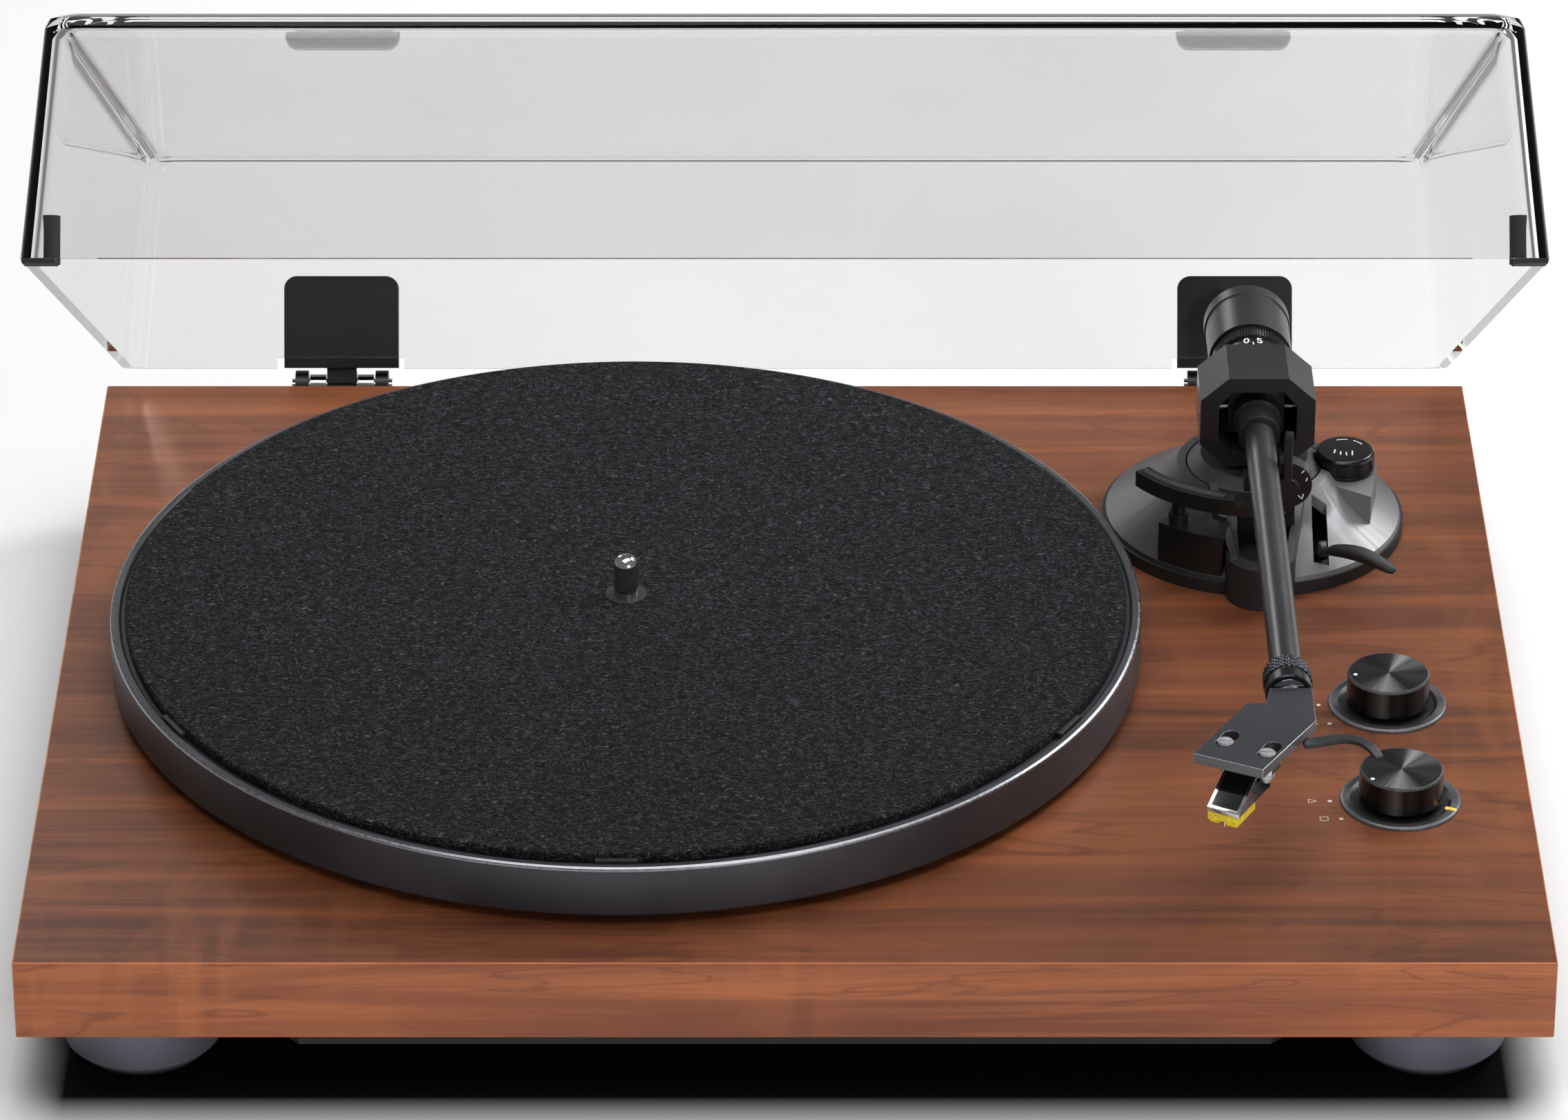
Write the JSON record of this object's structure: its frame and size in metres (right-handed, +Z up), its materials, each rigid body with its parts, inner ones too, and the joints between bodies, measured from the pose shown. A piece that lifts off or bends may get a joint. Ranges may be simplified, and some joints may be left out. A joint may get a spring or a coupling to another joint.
{
  "type": "turntable record player",
  "caption": "Belt-driven record player: wooden plinth on round feet, felt-topped platter, straight pivoted tonearm with counterweight, two rotary knobs and a hinged clear lid.",
  "frame": {"origin": "on the spindle's axis, level with the top of the slip mat", "axes": "+Z up along the spindle, +X towards the tonearm, -Y towards the front with the knobs at the right"},
  "size_m": [0.42, 0.3686, 0.2771],
  "materials": {
    "veneered_wood": "satin lacquered walnut-tone veneer",
    "black_board": "matt black fibre board",
    "zinc_screw": "plain zinc plated steel",
    "foot_paint": "satin dark grey",
    "black_rubber": "matt black",
    "bearing_brass": "turned",
    "polished_steel": "polished",
    "circuit_board": "green solder mask",
    "black_plastic": "fine satin black",
    "gold_plate": "gold plated",
    "bezel_metal": "satin dark anodised",
    "amber_lens": "translucent amber",
    "cone_paint": "satin gunmetal",
    "platter_metal": "satin dark grey",
    "felt": "short felt",
    "knob_metal": "black anodised, spun top",
    "clear_acrylic": "clear, polished",
    "arm_paint": "satin black",
    "collar_metal": "knurled, dark",
    "shell_metal": "satin dark grey",
    "cartridge_body": "polished black with bright edges",
    "stylus_yellow": "translucent yellow",
    "weight_paint": "satin black"
  },
  "bodies": {
    "root": {"plinth": "veneered_wood", "bottom_cover": "black_board", "base_screws": "zinc_screw", "foot_front_left": "foot_paint", "foot_front_right": "foot_paint", "foot_rear_left": "foot_paint", "foot_rear_right": "foot_paint", "foot_pads": "black_rubber", "bearing_housing": "bearing_brass", "bearing_ball": "polished_steel", "motor": "zinc_screw", "motor_bracket": "zinc_screw", "drive_belt": "black_rubber", "control_board": "circuit_board", "terminal_panel": "black_plastic", "rca_jacks": "gold_plate", "ground_post": "polished_steel", "dc_inlet": "black_plastic", "speed_bezel": "bezel_metal", "start_bezel": "bezel_metal", "speed_selector": "black_plastic", "start_switch": "black_plastic", "power_led": "amber_lens", "hinge_base_left": "black_plastic", "hinge_base_right": "black_plastic", "arm_base_disc": "black_plastic", "arm_base_cone": "cone_paint", "arm_pillar": "black_plastic", "lift_guide": "black_plastic", "arm_rest": "black_plastic"},
    "platter": {"platter": "platter_metal", "sub_platter": "black_plastic", "spindle": "polished_steel", "slip_mat": "felt"},
    "pulley": {"motor_pulley": "bearing_brass"},
    "speed_knob": {"speed_knob": "knob_metal"},
    "start_knob": {"start_knob": "knob_metal"},
    "line_switch": {"line_switch": "black_plastic"},
    "lid": {"dust_cover": "clear_acrylic", "lid_bumpers": "black_rubber", "hinge_plate_left": "black_plastic", "hinge_plate_right": "black_plastic", "hinge_pins": "polished_steel"},
    "arm_yoke": {"gimbal_frame": "arm_paint", "pivot_screws": "polished_steel"},
    "arm": {"gimbal_block": "arm_paint", "arm_tube": "arm_paint", "headshell": "shell_metal", "finger_lift": "shell_metal", "cartridge": "cartridge_body", "stylus": "stylus_yellow", "cartridge_screws": "polished_steel"},
    "collar": {"locking_collar": "collar_metal"},
    "weight_core": {"weight_core": "black_plastic"},
    "counterweight": {"counterweight": "weight_paint"},
    "force_dial": {"force_dial": "black_plastic"},
    "cue_lever": {"cue_lever": "black_plastic"},
    "lift_bar": {"lift_bar": "black_plastic"},
    "arm_clip": {"arm_clip": "black_plastic"},
    "anti_skate_dial": {"anti_skate_dial": "black_plastic"}
  },
  "joints": [
    {"name": "platter_spin", "type": "hinge", "parent": "root", "child": "platter", "pos_m": [0, 0, 0], "axis": [0, 0, 1], "continuous": true},
    {"name": "pulley_spin", "type": "hinge", "parent": "root", "child": "pulley", "pos_m": [-0.07, 0.066, 0], "axis": [0, 0, 1], "continuous": true},
    {"name": "speed_select", "type": "hinge", "parent": "root", "child": "speed_knob", "pos_m": [0.2192, -0.0296, -0.02], "axis": [0, 0, 1], "range_deg": [0, 32]},
    {"name": "start_select", "type": "hinge", "parent": "root", "child": "start_knob", "pos_m": [0.2192, -0.0833, -0.02], "axis": [0, 0, 1], "range_deg": [-32, 0]},
    {"name": "line_select", "type": "slide", "parent": "root", "child": "line_switch", "axis": [1, 0, 0], "range_m": [0, 0.005]},
    {"name": "lid_hinge", "type": "hinge", "parent": "root", "child": "lid", "pos_m": [0.046, 0.172, -0.023], "axis": [-1, 0, 0], "range_deg": [-33, 32]},
    {"name": "arm_swing", "type": "hinge", "parent": "root", "child": "arm_yoke", "pos_m": [0.186, 0.078, 0], "axis": [0, 0, 1], "range_deg": [-48, 0]},
    {"name": "arm_lift", "type": "hinge", "parent": "arm_yoke", "child": "arm", "pos_m": [0.186, 0.078, 0.02], "axis": [-1, 0, 0], "range_deg": [-0.8, 8]},
    {"name": "collar_turn", "type": "hinge", "parent": "arm", "child": "collar", "pos_m": [0.186, -0.088, 0.02], "axis": [0, 1, 0], "range_deg": [0, 90]},
    {"name": "weight_slide", "type": "slide", "parent": "arm", "child": "weight_core", "axis": [0, 1, 0], "range_m": [-0.004, 0.004]},
    {"name": "weight_turn", "type": "hinge", "parent": "weight_core", "child": "counterweight", "pos_m": [0.186, 0.117, 0.02], "axis": [0, 1, 0], "range_deg": [-720, 720]},
    {"name": "dial_turn", "type": "hinge", "parent": "counterweight", "child": "force_dial", "pos_m": [0.186, 0.1, 0.02], "axis": [0, 1, 0], "continuous": true},
    {"name": "cue_turn", "type": "hinge", "parent": "root", "child": "cue_lever", "pos_m": [0.2044, 0.0566, -0.0166], "axis": [-1, 0, 0], "range_deg": [0, 60]},
    {"name": "lift_slide", "type": "slide", "parent": "root", "child": "lift_bar", "axis": [0, 0, 1], "range_m": [0, 0.004]},
    {"name": "clip_turn", "type": "hinge", "parent": "root", "child": "arm_clip", "pos_m": [0.1935, 0.045, 0.012], "axis": [0, 1, 0], "range_deg": [0, 80]},
    {"name": "anti_skate_turn", "type": "hinge", "parent": "root", "child": "anti_skate_dial", "pos_m": [0.2132, 0.0793, 0], "axis": [0, 0, 1], "range_deg": [0, 270]}
  ],
  "couplings": [
    {"joint": "pulley_spin", "follows": "platter_spin", "ratio": 10},
    {"joint": "weight_slide", "follows": "weight_turn", "m_per_rad": 0.000318},
    {"joint": "lift_slide", "follows": "cue_turn", "m_per_rad": 0.0038}
  ]
}
